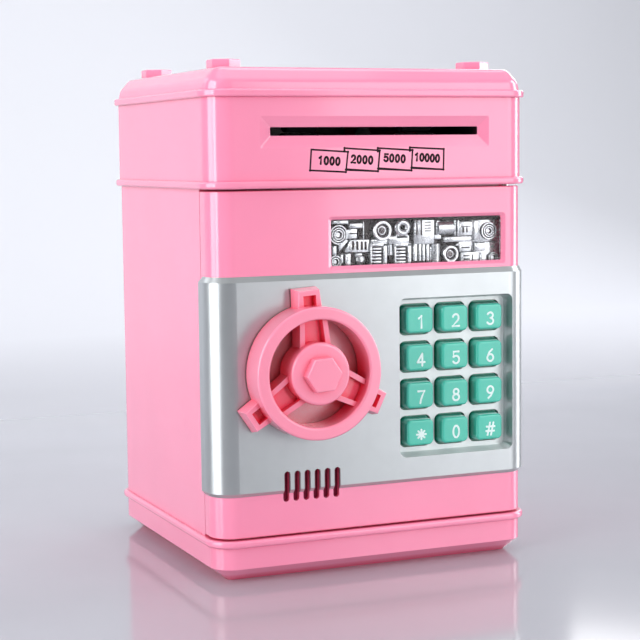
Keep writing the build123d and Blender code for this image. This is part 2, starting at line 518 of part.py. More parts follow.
for ex, ez, er in ((4.2, 128.2, 2.75), (33.2, 118.4, 2.5)):
    c = cyl_y(ex, ez, er, BK - 1.0 if ez > 120 else BK - 0.9, BK - 1.9)
    c = fillet(c.edges().filter_by(lambda e: abs(e.center().Y - (BK - 1.9)) < 1e-3), 0.6)
    eye = c if eye is None else eye + c
put("relief_eyes", eye)

# ------------------------------------------------------------ speaker
SPX, SPZ, SPR = WX + 1.2, 34.8, 13.0
spk = cyl_y(SPX, SPZ, SPR, -(HY - T), -(HY - T) + 2.4) - cyl_y(SPX, SPZ, SPR - 1.4, -60, -(HY - T) + 0.8)
spk += Pos(SPX, -(HY - T) + 4.2, SPZ) * Rot(-90, 0, 0) * Cone(SPR - 0.6, 7.5, 3.6)
spk += cyl_y(SPX, SPZ, 7.5, -(HY - T) + 5.8, -(HY - T) + 7.6)
put("speaker", spk)

# ------------------------------------------------------------ door inner cover and latch
IC0, IC1 = -49.3, -47.3
ic = bx(-(HX - T) + 0.2, PIV_X - 2.5, IC0, IC1, DOOR_Z0 + T + 0.2, DOOR_Z1 - T - 0.2)
ic -= cyl_y(WX, WZ, 4.2, -60, -40)
for px, pz in DPOSTS:
    ic -= cyl_y(px, pz, 1.4, -60, -40)
for gz in (112.0, 116.0, 120.0, 124.0, 128.0, 132.0):
    ic -= bx(-20, 40, IC1 - 0.6, IC1 + 1, gz - 0.8, gz + 0.8)
put("door_inner_cover", ic)
ds = None
for px, pz in DPOSTS:
    s = cyl_y(px, pz, 2.5, IC1, IC1 + 0.7) + cyl_y(px, pz, 1.2, IC1 - 8.0, IC1 + 0.3)
    s -= bx(px - 1.6, px + 1.6, IC1 + 0.35, IC1 + 2, pz - 0.25, pz + 0.25) + bx(px - 0.25, px + 0.25, IC1 + 0.35, IC1 + 2, pz - 1.6, pz + 1.6)
    ds = s if ds is None else ds + s
put("door_screws", ds)

RPZ = WZ + MODULE * PIN_TEETH / 2        # rack pitch line
BY0, BY1 = -42.1, -39.1                  # latch bolt thickness in Y
guide = bx(-51.0, -2.0, IC1, -37.9, 67.0, 92.0)
guide -= bx(-60, 0, BY0 - 0.15, BY1 + 0.15, RPZ + 0.8, 88.12)
guide -= bx(-44.5, -17.5, BY0 - 0.3, BY1 + 0.15, RPZ - 1.2, RPZ + 1.0)
guide -= cyl_y(WX, WZ, 5.6, -45.3, BY1 + 0.15)
guide -= cyl_y(WX, WZ, 3.75, -60, -45)
guide -= cyl_z(-13.0, (BY0 + BY1) / 2, 1.35, 86, 95)
put("latch_guide", guide)

BOLT_Z0, BOLT_Z1 = RPZ + 1.05, 88.0
bolt = bx(-53.9, -3.0, BY0, BY1, BOLT_Z0, BOLT_Z1)
bolt -= Pos(-53.9, BY0, (BOLT_Z0 + BOLT_Z1) / 2) * Rot(0, 0, 45) * Box(1.6, 1.6, 20)
for nx in (-13.0, -13.0 + BOLT_THROW):
    bolt -= bx(nx - 1.6, nx + 1.6, BY0 - 1, BY1 + 1, BOLT_Z1 - 3.4, BOLT_Z1 + 1)
pitch = math.pi * MODULE
for k in range(-3, 4):
    cx_ = WX + k * pitch
    h0, h1 = 1.05, -0.75
    w_p = (pitch / 2 - 0.26) / 2
    w0 = w_p + (h0 + 0.15) * math.tan(math.radians(20))
    w1 = w_p + h1 * math.tan(math.radians(24))
    tooth = make_face(Polyline((cx_ - w0, RPZ + h0 + 0.15), (cx_ + w0, RPZ + h0 + 0.15),
                               (cx_ + w1, RPZ + h1), (cx_ - w1, RPZ + h1), close=True))
    bolt += extrude(Plane(origin=(0, BY1, 0), x_dir=(1, 0, 0), z_dir=(0, -1, 0)) * tooth, amount=BY1 - BY0)
put("latch_bolt", bolt)

sol = bx(-20.0, -6.0, IC1, -37.6, 92.0, 112.0)
sol += bx(-21.0, -5.0, IC1, -37.9, 92.0, 93.5) + bx(-21.0, -5.0, IC1, -37.9, 110.5, 112.0)
sol -= cyl_z(-13.0, (BY0 + BY1) / 2, 1.33, 90, 107.0)
put("lock_solenoid", sol)
put("lock_plunger", cyl_z(-13.0, (BY0 + BY1) / 2, 1.25, 88.6, 103.4))

bush = cyl_y(WX, WZ, 6.5, Y_FACE + 0.1, -55.0) + cyl_y(WX, WZ, 8.0, -(HY - T), -55.6)
bush -= cyl_y(WX, WZ, SHAFT_R + 0.05, -70, -50)
put("wheel_bush", bush)

# ------------------------------------------------------------ handwheel
shaft = cyl_y(WX, WZ, SHAFT_R, -66.0, -45.2) + cyl_y(WX, WZ, 1.6, -45.3, BY1)
shaft -= cyl_y(WX, WZ, 1.25, -67, -57.0)
put("wheel_shaft", shaft)
clip = cyl_y(WX, WZ, 6.0, -54.8, -54.0) - cyl_y(WX, WZ, SHAFT_R, -56, -53)
put("shaft_clip", clip)
# the pinion turns about Y; tooth gap faces up, towards the rack
pg = gear(PIN_TEETH, MODULE, BY1 - BY0 - 0.2, 1.6, phase=90.0 + 18.0)
put("latch_pinion", Plane(origin=(WX, BY1 - 0.1, WZ), x_dir=(1, 0, 0), z_dir=(0, -1, 0)) * pg)


def wheel_plane(y):
    return Plane(origin=(WX, y, WZ), x_dir=(1, 0, 0), z_dir=(0, -1, 0))


# rim: turned ring with a slightly larger rear edge and rounded front edges
prof = make_face(Polyline((RIM_RI - 0.2, Y_W0), (RIM_RO + 0.3, Y_W0), (RIM_RO, Y_W1), (RIM_RI, Y_W1), close=True))
prof = fillet(prof.vertices().filter_by(lambda v: v.Y < Y_W1 + 0.01), 0.9)
rim = revolve(Plane(origin=(0, 0, 0), x_dir=(1, 0, 0), z_dir=(0, 0, 1)) * prof, Axis.Y)
rim = Pos(WX, 0, WZ) * rim
wheel = rim
hub = cyl_y(WX, WZ, HUB_R, Y_W0, -71.8)
wheel += hub
Y_SP, Y_SPF = -68.2, -64.8          # spoke front and channel floor
for k in range(3):
    a = 90 + W_TILT + 120 * k
    # spoke: outer x along the radius
    sp = make_face(Polyline((8.0, -6.25), (RIM_RI + 1.5, -5.3), (RIM_RI + 1.5, 5.3), (8.0, 6.25), close=True))
    sp = extrude(sp, amount=-Y_SP + (Y_W0 + 0.6))
    ch = make_face(Polyline((8.0, -4.2), (RIM_RI + 3.0, -3.3), (RIM_RI + 3.0, 3.3), (8.0, 4.2), close=True))
    ch = Pos(0, 0, -Y_SPF + (Y_W0 + 0.6)) * extrude(ch, amount=6)
    sp = sp - ch
    sp = wheel_plane(Y_W0 - 0.6) * (Rot(0, 0, a) * sp)
    sp -= cyl_y(WX, WZ, 10.5, -80, -50)
    inside = cyl_y(WX, WZ, RIM_RI + 1.0, -80, -50)
    wheel += (sp & inside)
    # lug outside the rim: wider at the back, pocket in its front face
    s1 = Rot(0, 0, a) * make_face(Polyline((22.6, -5.3), (31.0, -5.0), (31.0, 5.0), (22.6, 5.3), close=True))
    s2 = Rot(0, 0, a) * make_face(Polyline((22.6, -4.75), (30.2, -4.1), (30.2, 4.1), (22.6, 4.75), close=True))
    lug = loft([wheel_plane(Y_W0) * s1, wheel_plane(-67.3) * s2])
    le = [e for e in lug.edges() if e.center().Y < -67.2]
    try:
        lug = fillet(le, 0.35)
    except Exception as err:
        print("lug fillet", err)
    pk = Rot(0, 0, a) * (Pos(25.3, 0) * Rectangle(6.1, 5.0))
    lug -= cyl_y(WX, WZ, RIM_RI + 2.0, -80, -50)
    wheel += lug
    wheel -= extrude(wheel_plane(-64.0) * (pk), amount=6) - cyl_y(WX, WZ, RIM_RO + 0.05, -80, -50)
wheel -= cyl_y(WX, WZ, SHAFT_R, -66.0, -50)
wheel -= cyl_y(WX, WZ, 1.35, -70, -60)
wheel -= cyl_y(WX, WZ, 4.6, -80, -67.6)
put("handwheel", wheel)
hcap = cyl_y(WX, WZ, HUB_R, -71.8, -73.3)
hcap = fillet(hcap.edges().filter_by(lambda e: abs(e.center().Y + 73.3) < 1e-3), 1.3)
hx1 = wheel_plane(-73.0) * RegularPolygon(radius=7.15, side_count=6, rotation=W_TILT)
hx2 = wheel_plane(-76.8) * RegularPolygon(radius=6.9, side_count=6, rotation=W_TILT)
hexp = loft([hx1, hx2])
hexp = fillet([e for e in hexp.edges() if e.center().Y < -76.7], 0.5)
hcap += hexp
hcap += cyl_y(WX, WZ, 4.5, -72.0, -69.9)
put("hub_cap", hcap)
ws = cyl_y(WX, WZ, 3.3, -69.7, -67.6) + cyl_y(WX, WZ, 1.25, -68, -58.0)
ws -= bx(WX - 2.0, WX + 2.0, -70, -68.8, WZ - 0.3, WZ + 0.3) + bx(WX - 0.3, WX + 0.3, -70, -68.8, WZ - 2.0, WZ + 2.0)
put("wheel_screw", ws)

# ------------------------------------------------------------ write one STEP per node
for name, shape in nodes.items():
    if isinstance(shape, (list, ShapeList)):
        shape = Compound(children=list(shape))
    export_step(shape, "parts/%s.step" % name)
print(len(nodes), "nodes")
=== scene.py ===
import bpy, bmesh, math
from mathutils import Matrix, Vector


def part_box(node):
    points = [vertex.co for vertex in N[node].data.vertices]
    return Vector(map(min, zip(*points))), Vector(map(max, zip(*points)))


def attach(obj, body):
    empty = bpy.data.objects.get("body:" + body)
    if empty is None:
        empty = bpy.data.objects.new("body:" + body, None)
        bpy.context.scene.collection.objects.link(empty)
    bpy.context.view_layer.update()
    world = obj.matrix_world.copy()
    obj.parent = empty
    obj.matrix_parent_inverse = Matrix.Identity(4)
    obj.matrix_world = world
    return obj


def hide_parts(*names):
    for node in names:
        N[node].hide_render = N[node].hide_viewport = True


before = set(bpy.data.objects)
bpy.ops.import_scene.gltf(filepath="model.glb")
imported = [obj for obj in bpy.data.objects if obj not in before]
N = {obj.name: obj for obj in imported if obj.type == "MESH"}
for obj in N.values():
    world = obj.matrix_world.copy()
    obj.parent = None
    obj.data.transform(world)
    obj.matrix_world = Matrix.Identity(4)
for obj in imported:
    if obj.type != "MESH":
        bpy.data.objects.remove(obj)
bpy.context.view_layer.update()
MM = 0.001


# ---------------------------------------------------------------- materials
def srgb(r, g, b):
    def f(c):
        c /= 255.0
        return c / 12.92 if c <= 0.04045 else ((c + 0.055) / 1.055) ** 2.4
    return (f(r), f(g), f(b), 1.0)


def node_mat(name):
    m = bpy.data.materials.new(name)
    m.use_nodes = True
    nt = m.node_tree
    nt.nodes.clear()
    out = nt.nodes.new("ShaderNodeOutputMaterial")
    p = nt.nodes.new("ShaderNodeBsdfPrincipled")
    nt.links.new(p.outputs["BSDF"], out.inputs["Surface"])
    return m, nt, p, out


def coords(nt):
    return nt.nodes.new("ShaderNodeTexCoord").outputs["Object"]


def noise(nt, vec, scale, detail=3.0, rough=0.5, dist=0.0):
    n = nt.nodes.new("ShaderNodeTexNoise")
    n.inputs["Scale"].default_value = scale
    n.inputs["Detail"].default_value = detail
    n.inputs["Roughness"].default_value = rough
    n.inputs["Distortion"].default_value = dist
    nt.links.new(vec, n.inputs["Vector"])
    return n


def ramp(nt, fac, stops):
    r = nt.nodes.new("ShaderNodeValToRGB")
    el = r.color_ramp.elements
    while len(el) > len(stops):
        el.remove(el[-1])
    while len(el) < len(stops):
        el.new(0.5)
    for e, (pos, col) in zip(el, stops):
        e.position = pos
        e.color = col if len(col) == 4 else (*col, 1.0)
    nt.links.new(fac, r.inputs["Fac"])
    return r


def maprange(nt, fac, a, b, c, d):
    n = nt.nodes.new("ShaderNodeMapRange")
    n.inputs["From Min"].default_value = a
    n.inputs["From Max"].default_value = b
    n.inputs["To Min"].default_value = c
    n.inputs["To Max"].default_value = d
    nt.links.new(fac, n.inputs["Value"])
    return n.outputs["Result"]


def bumps(nt, p, layers, bevel=0.0):
    # layers: (height socket, strength, distance in m)
    prev = None
    if bevel:
        b = nt.nodes.new("ShaderNodeBevel")
        b.samples = 6
        b.inputs["Radius"].default_value = bevel
        prev = b.outputs["Normal"]
    for h, s, dist in layers:
        n = nt.nodes.new("ShaderNodeBump")
        n.inputs["Strength"].default_value = s
        n.inputs["Distance"].default_value = dist
        nt.links.new(h, n.inputs["Height"])
        if prev is not None:
            nt.links.new(prev, n.inputs["Normal"])
        prev = n.outputs["Normal"]
    if prev is not None:
        nt.links.new(prev, p.inputs["Normal"])


def scale_col(c, k):
    return tuple(min(1.0, v * k) for v in c[:3]) + (1.0,)


def plastic(name, col, rough=0.22, peel=0.03, vary=0.025, coat=0.7, sss=0.05, radius=(1.0, 0.45, 0.55), bevel=0.00025, spec=0.5, gap_shade_col=None, gap_shade_dist=0.006):
    # glossy moulded ABS: a faint orange-peel ripple, fine scuffs in the gloss and slight colour drift
    m, nt, p, out = node_mat(name)
    co = coords(nt)
    big = noise(nt, co, 22.0, 3.0, 0.55)
    r = ramp(nt, big.outputs["Fac"], [(0.30, scale_col(col, 1.0 - vary)), (0.70, scale_col(col, 1.0 + vary))])
    if gap_shade_col:
        # painted shade: where ambient occlusion finds a tight gap the base colour turns toward a deeper colour,
        # standing in for light that bounces inside the gap and comes back redder
        ao = nt.nodes.new("ShaderNodeAmbientOcclusion")
        ao.samples = 6
        ao.inputs["Distance"].default_value = gap_shade_dist
        mixc = nt.nodes.new("ShaderNodeMix"); mixc.data_type = "RGBA"
        mixc.inputs[6].default_value = gap_shade_col
        nt.links.new(r.outputs["Color"], mixc.inputs[7])
        nt.links.new(maprange(nt, ao.outputs["AO"], 0.15, 0.85, 0.0, 1.0), mixc.inputs[0])
        nt.links.new(mixc.outputs[2], p.inputs["Base Color"])
    else:
        nt.links.new(r.outputs["Color"], p.inputs["Base Color"])
    fine = noise(nt, co, 900.0, 4.0, 0.6)
    scuff = noise(nt, co, 60.0, 6.0, 0.65, 0.4)
    mixr = nt.nodes.new("ShaderNodeMath"); mixr.operation = "MULTIPLY"
    nt.links.new(fine.outputs["Fac"], mixr.inputs[0]); nt.links.new(scuff.outputs["Fac"], mixr.inputs[1])
    nt.links.new(maprange(nt, mixr.outputs[0], 0.12, 0.42, rough - 0.02, rough + 0.03), p.inputs["Roughness"])
    ripple = noise(nt, co, 160.0, 1.5, 0.4)
    bumps(nt, p, [(ripple.outputs["Fac"], peel, 0.00004)], bevel)
    p.inputs["Specular IOR Level"].default_value = spec
    p.inputs["Coat Weight"].default_value = coat
    p.inputs["Coat Roughness"].default_value = 0.08
    p.inputs["Subsurface Weight"].default_value = sss
    p.inputs["Subsurface Radius"].default_value = radius
    p.inputs["Subsurface Scale"].default_value = 0.0016
    return m


def silver_paint(name, col, rough=0.3, metal=0.78):
    # sprayed metallic lacquer: a soft pearl cloud in colour and gloss
    m, nt, p, out = node_mat(name)
    co = coords(nt)
    flake = noise(nt, co, 190.0, 2.0, 0.5)
    r = ramp(nt, flake.outputs["Fac"], [(0.3, scale_col(col, 0.985)), (0.5, col), (0.7, scale_col(col, 1.015))])
    # painted reflection: in the tight gaps around the handwheel axis the base colour is mixed toward pink-red, standing
    # in for the wheel's pink reflected into the lacquer
    sx = nt.nodes.new("ShaderNodeSeparateXYZ")
    nt.links.new(co, sx.inputs["Vector"])
    cx = nt.nodes.new("ShaderNodeCombineXYZ")
    nt.links.new(sx.outputs["X"], cx.inputs["X"]); nt.links.new(sx.outputs["Z"], cx.inputs["Z"])
    dist = nt.nodes.new("ShaderNodeVectorMath"); dist.operation = "DISTANCE"
    dist.inputs[1].default_value = (-0.0284, 0.0, 0.0775)
    nt.links.new(cx.outputs["Vector"], dist.inputs[0])
    ao = nt.nodes.new("ShaderNodeAmbientOcclusion"); ao.samples = 6
    ao.inputs["Distance"].default_value = 0.016
    painted_pink_mask = nt.nodes.new("ShaderNodeMath"); painted_pink_mask.operation = "MULTIPLY"
    nt.links.new(maprange(nt, dist.outputs["Value"], 0.0195, 0.0225, 1.0, 0.0), painted_pink_mask.inputs[0])
    nt.links.new(maprange(nt, ao.outputs["AO"], 0.12, 0.5, 1.0, 0.0), painted_pink_mask.inputs[1])
    mixc = nt.nodes.new("ShaderNodeMix"); mixc.data_type = "RGBA"
    nt.links.new(painted_pink_mask.outputs[0], mixc.inputs[0])
    nt.links.new(r.outputs["Color"], mixc.inputs[6])
    # painted reflection colour: the handwheel's pink as it shows in the lacquer
    mixc.inputs[7].default_value = srgb(226, 60, 90)
    nt.links.new(mixc.outputs[2], p.inputs["Base Color"])
    cloud = noise(nt, co, 45.0, 4.0, 0.6)
    nt.links.new(maprange(nt, cloud.outputs["Fac"], 0.3, 0.7, rough - 0.02, rough + 0.03), p.inputs["Roughness"])
    p.inputs["Metallic"].default_value = metal
    return m


def chrome(name, col, rough=0.16):
    m, nt, p, out = node_mat(name)
    co = coords(nt)
    n1 = noise(nt, co, 260.0, 4.0, 0.6)
    r = ramp(nt, n1.outputs["Fac"], [(0.3, scale_col(col, 0.86)), (0.7, col)])
    nt.links.new(r.outputs["Color"], p.inputs["Base Color"])
    nt.links.new(maprange(nt, n1.outputs["Fac"], 0.3, 0.7, rough, rough + 0.12), p.inputs["Roughness"])
    n2 = noise(nt, co, 1400.0, 3.0, 0.6)
    bumps(nt, p, [(n2.outputs["Fac"], 0.25, 0.00004)], 0.00018)
    p.inputs["Metallic"].default_value = 0.9
    return m


def steel(name, col, rough=0.3, axis=1, grain=1400.0):
    # drawn or turned metal with a fine directional grain
    m, nt, p, out = node_mat(name)
    co = coords(nt)
    mp = nt.nodes.new("ShaderNodeMapping")
    sc = [1.0, 1.0, 1.0]
    sc[axis] = 0.04
    mp.inputs["Scale"].default_value = sc
    nt.links.new(co, mp.inputs["Vector"])
    g = noise(nt, mp.outputs["Vector"], grain, 5.0, 0.65)
    tint = noise(nt, co, 70.0, 4.0, 0.6)
    mx = nt.nodes.new("ShaderNodeMath"); mx.operation = "ADD"
    nt.links.new(g.outputs["Fac"], mx.inputs[0]); nt.links.new(tint.outputs["Fac"], mx.inputs[1])
    r = ramp(nt, maprange(nt, mx.outputs[0], 0.6, 1.4, 0.0, 1.0), [(0.0, scale_col(col, 0.72)), (1.0, scale_col(col, 1.1))])
    nt.links.new(r.outputs["Color"], p.inputs["Base Color"])
    nt.links.new(maprange(nt, g.outputs["Fac"], 0.3, 0.7, rough - 0.06, rough + 0.12), p.inputs["Roughness"])
    bumps(nt, p, [(g.outputs["Fac"], 0.2, 0.00003)], 0.00015)
    p.inputs["Metallic"].default_value = 1.0
    return m


def matt(name, col, rough=0.65, grain=700.0, bump=0.3, vary=0.12, sheen=0.0, dist=0.00008):
    m, nt, p, out = node_mat(name)
    co = coords(nt)
    n1 = noise(nt, co, grain, 5.0, 0.6)
    n2 = noise(nt, co, 40.0, 4.0, 0.6)
    mx = nt.nodes.new("ShaderNodeMath"); mx.operation = "MULTIPLY"
    nt.links.new(n1.outputs["Fac"], mx.inputs[0]); nt.links.new(n2.outputs["Fac"], mx.inputs[1])
    r = ramp(nt, maprange(nt, mx.outputs[0], 0.1, 0.4, 0.0, 1.0), [(0.0, scale_col(col, 1 - vary)), (1.0, scale_col(col, 1 + vary))])
    nt.links.new(r.outputs["Color"], p.inputs["Base Color"])
    nt.links.new(maprange(nt, n1.outputs["Fac"], 0.3, 0.7, rough - 0.07, rough + 0.07), p.inputs["Roughness"])
    bumps(nt, p, [(n1.outputs["Fac"], bump, dist)], 0.00018)
    if sheen:
        p.inputs["Sheen Weight"].default_value = sheen
    return m


def board_mat(name, dark, light):
    # solder-masked board with a faint grid of tracks under the mask
    m, nt, p, out = node_mat(name)
    co = coords(nt)
    br = nt.nodes.new("ShaderNodeTexBrick")
    br.inputs["Scale"].default_value = 260.0
    br.inputs["Mortar Size"].default_value = 0.04
    br.inputs["Color1"].default_value = dark
    br.inputs["Color2"].default_value = scale_col(dark, 1.25)
    br.inputs["Mortar"].default_value = light
    rot = nt.nodes.new("ShaderNodeMapping")
    rot.inputs["Rotation"].default_value = (math.radians(90), 0, 0)
    nt.links.new(co, rot.inputs["Vector"])
    nt.links.new(rot.outputs["Vector"], br.inputs["Vector"])
    nt.links.new(br.outputs["Color"], p.inputs["Base Color"])
    n1 = noise(nt, co, 200.0, 3.0)
    nt.links.new(maprange(nt, n1.outputs["Fac"], 0.3, 0.7, 0.28, 0.42), p.inputs["Roughness"])
    bumps(nt, p, [(br.outputs["Fac"], 0.15, 0.00005)], 0.0001)
    return m


def pane(name, rough=0.03, tint=(0.97, 0.975, 0.98, 1.0)):
    m, nt, p, out = node_mat(name)
    co = coords(nt)
    n1 = noise(nt, co, 30.0, 3.0)
    nt.links.new(maprange(nt, n1.outputs["Fac"], 0.3, 0.7, rough, rough + 0.03), p.inputs["Roughness"])
    p.inputs["Base Color"].default_value = tint
    p.inputs["Transmission Weight"].default_value = 1.0
    p.inputs["IOR"].default_value = 1.2
    tr = nt.nodes.new("ShaderNodeBsdfTransparent")
    tr.inputs["Color"].default_value = tint
    lp = nt.nodes.new("ShaderNodeLightPath")
    mx = nt.nodes.new("ShaderNodeMixShader")
    nt.links.new(lp.outputs["Is Shadow Ray"], mx.inputs["Fac"])
    nt.links.new(p.outputs["BSDF"], mx.inputs[1])
    nt.links.new(tr.outputs["BSDF"], mx.inputs[2])
    nt.links.new(mx.outputs["Shader"], out.inputs["Surface"])
    return m


PINK = srgb(249, 145, 178)
PINK_W = srgb(250, 147, 174)
M = {}
# the deeper colours passed below are painted shade, used only in each material's tight gaps
M["pink"] = plastic("pink_abs", PINK, rough=0.22, gap_shade_col=srgb(240, 92, 130), gap_shade_dist=0.003)
M["pink_wheel"] = plastic("pink_wheel_abs", PINK_W, rough=0.2, peel=0.02, gap_shade_col=srgb(246, 40, 76), gap_shade_dist=0.011)
M["silver"] = silver_paint("silver_lacquer", srgb(194, 199, 201), rough=0.3, metal=0.78)
# a paler, less metallic copy of the silver, used as painted light in the keypad recess
M["silver_painted_light"] = silver_paint("silver_painted_light", srgb(226, 231, 232), rough=0.36, metal=0.4)
M["teal"] = plastic("teal_abs", srgb(66, 192, 170), rough=0.24, peel=0.02, radius=(0.4, 1.0, 0.85), vary=0.03, gap_shade_col=srgb(6, 118, 92), gap_shade_dist=0.0035)
M["legend"] = plastic("legend_white", srgb(226, 246, 244), rough=0.38, peel=0.1, coat=0.0, sss=0.0, bevel=0.0)
M["ink"] = matt("print_ink", srgb(22, 3, 12), 0.6, 900.0, 0.1)
M["ink"].node_tree.nodes["Principled BSDF"].inputs["Specular IOR Level"].default_value = 0.25
M["chrome"] = chrome("metallised", srgb(214, 216, 220), 0.2)
M["chrome_dark"] = chrome("metallised_ground", srgb(120, 124, 128), 0.22)
# dark maroon for the disc behind the sound slots, painted shade
M["cloth"] = matt("grille_cloth", srgb(112, 24, 52), 0.8, 1600.0, 0.5, 0.2)
M["eye"] = plastic("gloss_black", srgb(16, 16, 18), rough=0.07, peel=0.02, coat=0.8, sss=0.0, vary=0.1)
# the dark backing's own colour; the same material is laid into the relief's grooves, holes and deepest gaps as painted
# shade
M["dark"] = matt("dark_backing_and_gap_shade", srgb(30, 18, 24), 0.6, 500.0, 0.4)
# near-black maroon used as painted shade inside the slot
M["inner_dark"] = matt("painted_shade_maroon", srgb(38, 7, 16), 0.6, 600.0, 0.2)
M["feeder"] = plastic("feeder_grey", srgb(40, 38, 42), rough=0.45, peel=0.2, coat=0.0, sss=0.0)
M["glass_dark"] = plastic("lens_smoke", srgb(52, 40, 46), rough=0.08, peel=0.0, coat=0.8, sss=0.0, vary=0.2)
M["pane"] = pane("clear_pane")
M["inner"] = plastic("inner_white", srgb(232, 230, 228), rough=0.42, peel=0.25, coat=0.0, sss=0.03, radius=(1, 1, 1))
M["nylon"] = plastic("nylon", srgb(226, 224, 212), rough=0.4, peel=0.2, coat=0.0, sss=0.1, radius=(1, 1, 0.9))
M["rubber"] = matt("roller_rubber", srgb(34, 34, 36), 0.75, 1500.0, 0.5)
M["mat"] = matt("silicone", srgb(168, 170, 172), 0.6, 900.0, 0.3)
M["board"] = board_mat("board_mask", srgb(22, 92, 52), srgb(52, 132, 84))
M["zinc"] = steel("zinc_steel", srgb(190, 192, 194), 0.3, 2)
M["can"] = steel("can_steel", srgb(176, 178, 180), 0.34, 0)
M["nickel"] = steel("nickel", srgb(200, 198, 190), 0.24, 2)
M["speaker"] = matt("speaker_paper", srgb(30, 30, 32), 0.8, 1200.0, 0.6)
M["sensor"] = matt("sensor_black", srgb(24, 24, 26), 0.45, 800.0, 0.2)
M["cell"] = plastic("cell_sleeve", srgb(52, 58, 66), rough=0.3, peel=0.1, coat=0.2, sss=0.0, vary=0.1)
M["lead"] = plastic("lead_red", srgb(170, 22, 28), rough=0.4, peel=0.2, coat=0.0, sss=0.0)

LOOK = {
    "pink": ["base_tray", "battery_cover", "main_shell", "upper_housing", "roof_cover", "door_shell"],
    "pink_wheel": ["handwheel", "hub_cap"],
    "silver": ["door_panel"],
    "teal": [n for n in N if n.startswith("key_")],
    "mat": ["keypad_mat"],
    "board": ["keypad_board", "main_board"],
    "pane": ["window_lens"],
    "dark": ["relief_backing"],
    "chrome": ["mechanism_relief"],
    "eye": ["relief_eyes"],
    "inner": ["door_inner_cover", "chamber_floor", "coin_chute", "latch_guide"],
    "feeder": ["feeder_frame"],
    "nylon": ["wheel_bush", "feed_gear", "idler_gear", "motor_pinion", "latch_pinion"],
    "zinc": ["latch_bolt", "wheel_shaft", "shaft_clip", "wheel_screw", "case_screws", "door_screws", "cover_screw",
             "hinge_pins", "strike_plate", "feed_shaft", "pinch_shaft", "lock_plunger"],
    "can": ["lock_solenoid", "feed_motor"],
    "rubber": ["feed_tyres", "pinch_rollers"],
    "speaker": ["speaker"],
    "sensor": ["slot_sensor"],
    "cell": ["battery_cells"],
    "nickel": ["battery_contacts"],
    "lead": ["battery_leads"],
}
done = set()
for key, names in LOOK.items():
    for n in names:
        o = N[n]
        o.data.materials.clear()
        o.data.materials.append(M[key])
        done.add(n)
missing = set(N) - done
# painted shade: the inside faces of the slotted front wall get a near-black maroon in place of the pink, standing in
# for the shade inside the slot
uh = N["upper_housing"].data
uh.materials.append(M["inner_dark"])
for f in uh.polygons:
    c = f.center
    if -0.0583 < c.y < -0.040 and abs(c.x) < 0.060 and 0.145 < c.z < 0.178:
        f.material_index = 1
# painted light: the floor and upward-facing lower wall of the keypad recess get a paler, less metallic copy of the
# silver, standing in for the stronger light they catch
dp = N["door_panel"].data
dp.materials.append(M["silver_painted_light"])
for f in dp.polygons:
    c = f.center
    if 0.0088 < c.x < 0.0584 and 0.0412 < c.z < 0.1028:
        if (-0.0560 < c.y < -0.0548 and f.normal.y < -0.7) or (-0.0612 < c.y < -0.0550 and f.normal.z > 0.6):
            f.material_index = 1
assert not missing, missing

# smooth shading with crisp edges on the carried-over solids
for n, o in N.items():
    o.data.shade_smooth()
    o.data.set_sharp_from_angle(angle=math.radians(32))


# ---------------------------------------------------------------- legends and prints
def arc(cx, cy, rx, ry, a0, a1, n=14):
    return [(cx + rx * math.cos(math.radians(a0 + (a1 - a0) * i / n)), cy + ry * math.sin(math.radians(a0 + (a1 - a0) * i / n))) for i in range(n + 1)]


# centre-line strokes in a box about 2.5 wide and 4.4 high
GLYPH = {
    "1": [[(-0.75, 1.35), (0.25, 2.2), (0.25, -2.2)]],
    "2": [arc(0.0, 1.0, 1.15, 1.2, 165, 20, 12) + arc(-0.2, 0.9, 1.30, 1.5, -5, -38, 4) + [(-1.25, -2.2), (1.3, -2.2)]],
    "3": [arc(0.0, 1.15, 1.1, 1.05, 155, -90, 16), arc(0.0, -1.05, 1.25, 1.15, 90, -155, 16)],
    "4": [[(0.5, -2.2), (0.5, 2.2)], [(0.5, 2.2), (-1.4, -0.95)], [(-1.4, -0.95), (1.4, -0.95)]],
    "5": [[(1.1, 2.2), (-0.85, 2.2), (-1.0, 0.25)] + arc(0.0, -0.8, 1.25, 1.4, 125, -150, 18)],
    "6": [[(0.75, 2.2), (-0.35, 1.2)] + arc(0.0, -0.9, 1.22, 1.3, 150, 510, 26)],
    "7": [[(-1.2, 2.2), (1.25, 2.2), (0.45, 0.5), (-0.1, -0.9), (-0.35, -2.2)]],
    "8": [arc(0.0, 1.12, 0.98, 1.02, 0, 360, 24), arc(0.0, -1.02, 1.22, 1.15, 0, 360, 26)],
    "9": [[(-0.75, -2.2), (0.35, -1.2)] + arc(0.0, 0.9, 1.22, 1.3, -30, 330, 26)],
    "0": [arc(0.0, 0.0, 1.15, 2.2, 0, 360, 30)],
    "star": [[(0, -1.75), (0, 1.75)], [(-1.75, 0), (1.75, 0)], [(-1.2, -1.2), (1.2, 1.2)], [(-1.2, 1.2), (1.2, -1.2)]],
    "hash": [[(-1.15, -2.3), (-0.15, 2.3)], [(0.25, -2.3), (1.25, 2.3)], [(-1.7, -0.85), (1.5, -0.85)], [(-1.5, 0.85), (1.7, 0.85)]],
}


